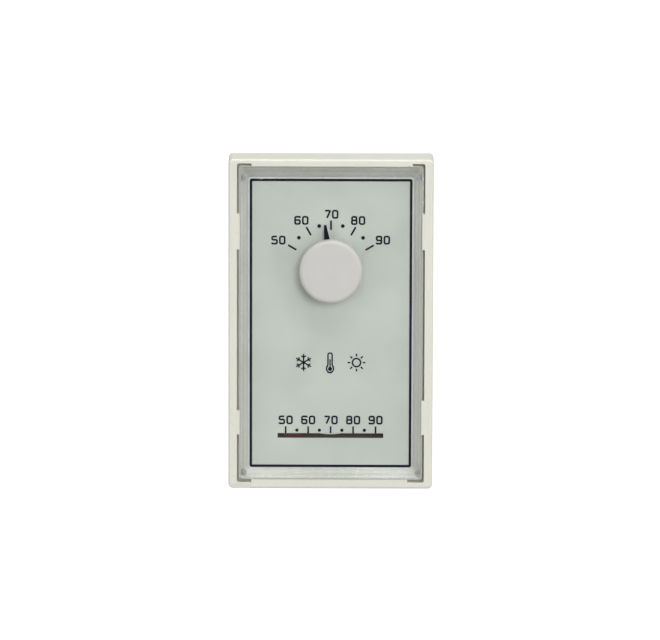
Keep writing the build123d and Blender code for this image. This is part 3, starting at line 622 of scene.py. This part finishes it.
scale_ticks.piece("scale_ticks")
scale_dots.piece("scale_dots")
scale_numerals.piece("scale_numerals")

# Plain pictograms in a row: a snowflake, a thermometer and a sun
MARK_MM = Vector((-0.2, -14.2))
SYMBOL_PITCH_MM = 9.5
SYMBOL_LINE_MM = 0.52
mark = Print()


def ray(centre, degrees, start, end, width):
    """A straight stroke that points away from a centre."""
    angle = math.radians(degrees)
    across = Vector((math.cos(angle), math.sin(angle)))
    mark.stroke([tuple(centre + across * start), tuple(centre + across * end)], width)
    return across


FLAKE_REACH_MM = 3.1
FORK_MM = 1.85             # where the barbs leave an arm
BARB_MM = 1.0
BARB_ANGLE = 58
flake = MARK_MM - Vector((SYMBOL_PITCH_MM, 0))
for arm in range(30, 390, 60):
    across = ray(flake, arm, 0, FLAKE_REACH_MM, SYMBOL_LINE_MM)
    for turn in (-BARB_ANGLE, BARB_ANGLE):
        ray(flake + across * FORK_MM, arm + turn, 0, BARB_MM, SYMBOL_LINE_MM * 0.9)

TUBE = [(-0.75, -1.0), (-0.75, 3.4), (0.75, 3.4), (0.75, -1.0), (1.35, -2.0), (1.0, -3.3),
        (0.0, -3.8), (-1.0, -3.3), (-1.35, -2.0)]
TUBE_CORNER_MM = 0.7
BULB_Z_MM = -2.35
BULB_RADIUS_MM = 0.75
COLUMN_MM = (-2.3, 1.2)
COLUMN_LINE_MM = 0.5
tube = [tuple(MARK_MM + Vector(corner)) for corner in rounded(TUBE, TUBE_CORNER_MM, True)]
mark.stroke(tube, SYMBOL_LINE_MM, True)
mark.dot(MARK_MM.x, MARK_MM.y + BULB_Z_MM, BULB_RADIUS_MM)
mark.stroke([(MARK_MM.x, MARK_MM.y + rise) for rise in COLUMN_MM], COLUMN_LINE_MM)

SUN_RADIUS_MM = 1.5
RAY_MM = (2.2, 3.2)
sun = MARK_MM + Vector((SYMBOL_PITCH_MM, 0))
ring = [
    (sun.x + SUN_RADIUS_MM * math.cos(turn), sun.y + SUN_RADIUS_MM * math.sin(turn))
    for turn in [math.pi / 8 * step for step in range(16)]
]
mark.stroke(rounded(ring, 0.3, True), SYMBOL_LINE_MM, True)
for degrees in range(0, 360, 45):
    ray(sun, degrees, *RAY_MM, SYMBOL_LINE_MM)
mark.piece("symbols")


# ---------------------------------------------------------------- range spring

# The spring is squeezed between two levers: its foot stays and its top follows the range lever. Here
# it is a copy of its mesh in spring steel, attached to no body, and the part itself is hidden
coil_mesh = nodes["range_spring"].data.copy()
coil_mesh.materials.clear()
coil_mesh.materials.append(finishes["spring_steel"])
coil = bpy.data.objects.new("range_spring_coil", coil_mesh)
coil.matrix_world = nodes["range_spring"].matrix_world.copy()
bpy.context.scene.collection.objects.link(coil)
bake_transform(coil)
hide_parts("range_spring")


# ------------------------------------------------------------ floor and light

FLOOR_HALF = 6.0
FLOOR_FRONT = -0.8
FLOOR_Z = -0.32
SEEN_WHITE = 1.1           # brightness of the floor and the room where the camera looks at them
floor_mesh = bpy.data.meshes.new("floor")
floor_corners = [
    (-FLOOR_HALF, FLOOR_FRONT, FLOOR_Z), (FLOOR_HALF, FLOOR_FRONT, FLOOR_Z),
    (FLOOR_HALF, FLOOR_HALF, FLOOR_Z), (-FLOOR_HALF, FLOOR_HALF, FLOOR_Z),
]
floor_mesh.from_pydata(floor_corners, [], [(0, 1, 2, 3)])
floor = bpy.data.objects.new("floor", floor_mesh)
bpy.context.scene.collection.objects.link(floor)
paper, tree = new_material("white_paper")
shader = add(tree, "ShaderNodeBsdfPrincipled")
fibres = noise(tree, place(tree), 40.0, 3.0, 0.5)
sheet_color = ramp(tree, fibres, [(0.3, (0.46, 0.46, 0.46, 1)), (0.7, (0.5, 0.5, 0.5, 1))])
tree.links.new(sheet_color, shader.inputs["Base Color"])
put(shader, Roughness=0.9)
bright = add(tree, "ShaderNodeEmission")
put(bright, Color=(1, 1, 1, 1), Strength=SEEN_WHITE)
looked_at = add(tree, "ShaderNodeLightPath").outputs["Is Camera Ray"]
upper = blended(tree, looked_at, shader.outputs["BSDF"], bright.outputs["Emission"])
# Nothing of the floor shows from below
underneath = add(tree, "ShaderNodeNewGeometry").outputs["Backfacing"]
unseen = add(tree, "ShaderNodeBsdfTransparent").outputs["BSDF"]
close(tree, blended(tree, underneath, upper, unseen))
floor_mesh.materials.append(paper)

ROOM_LIGHT = 0.28
DOWN_SHARE = 0.45          # of the room's light from low down, and from high up
UP_SHARE = 1.5
world = bpy.data.worlds.new("studio")
bpy.context.scene.world = world
world.use_nodes = True
tree = world.node_tree
tree.nodes.clear()
lit = add(tree, "ShaderNodeBackground")
put(lit, Color=(0.98, 0.99, 1.0, 1))
white = add(tree, "ShaderNodeBackground")
put(white, Color=(1, 1, 1, 1), Strength=SEEN_WHITE)
direction = add(tree, "ShaderNodeTexCoord")
parts = add(tree, "ShaderNodeSeparateXYZ")
tree.links.new(direction.outputs["Generated"], parts.inputs["Vector"])
strength = spread(tree, parts.outputs["Z"], ROOM_LIGHT * DOWN_SHARE, ROOM_LIGHT * UP_SHARE, -0.5, 0.9)
tree.links.new(strength, lit.inputs["Strength"])
seen = add(tree, "ShaderNodeLightPath").outputs["Is Camera Ray"]
sky = add(tree, "ShaderNodeOutputWorld")
room = blended(tree, seen, lit.outputs["Background"], white.outputs["Background"])
tree.links.new(room, sky.inputs["Surface"])


def soft_box(name, where, width, height, power):
    """A rectangular lamp that points at the middle of the thermostat's back."""
    light = bpy.data.lights.new(name, "AREA")
    light.shape = "RECTANGLE"
    light.size = width
    light.size_y = height
    light.energy = power
    lamp = bpy.data.objects.new(name, light)
    lamp.location = where
    lamp.rotation_mode = "QUATERNION"
    lamp.rotation_quaternion = (-Vector(where)).to_track_quat("-Z", "Y")
    bpy.context.scene.collection.objects.link(lamp)


soft_box("key", (0.34, -1.62, 0.36), 0.42, 0.42, 6.7)
soft_box("right_box", (1.30, -0.95, 0.02), 0.9, 1.0, 6.75)
soft_box("left_box", (-1.30, -0.95, 0.02), 0.9, 1.0, 6.4)
soft_box("high_box", (0.1, -1.0, 1.25), 1.0, 0.7, 3.6)
soft_box("top", (0.15, 0.05, 1.3), 1.2, 0.9, 10.4)


# --------------------------------------------------------------------- camera

DISTANCE = 1.2233
ELEVATION = math.radians(5.658)
AZIMUTH = math.radians(0.131)
ROLL = math.radians(0.166)
AIM = Vector((-0.000283, -0.016, 0.000143))
SENSOR_WIDTH = 36.0
FOCAL_LENGTH = 184.56

back = Vector((
    math.sin(AZIMUTH) * math.cos(ELEVATION),
    -math.cos(AZIMUTH) * math.cos(ELEVATION),
    math.sin(ELEVATION),
))
lens = bpy.data.cameras.new("camera")
lens.sensor_width = SENSOR_WIDTH
lens.lens = FOCAL_LENGTH
lens.clip_start = 0.05
lens.clip_end = 30.0
camera = bpy.data.objects.new("camera", lens)
bpy.context.scene.collection.objects.link(camera)
level = Vector((math.cos(AZIMUTH), math.sin(AZIMUTH), 0.0))
raised = back.cross(level)
right = level * math.cos(ROLL) + raised * math.sin(ROLL)
up = back.cross(right)
camera.rotation_mode = "QUATERNION"
camera.rotation_quaternion = Matrix((right, up, back)).transposed().to_quaternion()
camera.location = AIM + back * DISTANCE
bpy.context.scene.camera = camera
bpy.context.scene.view_settings.view_transform = "Standard"
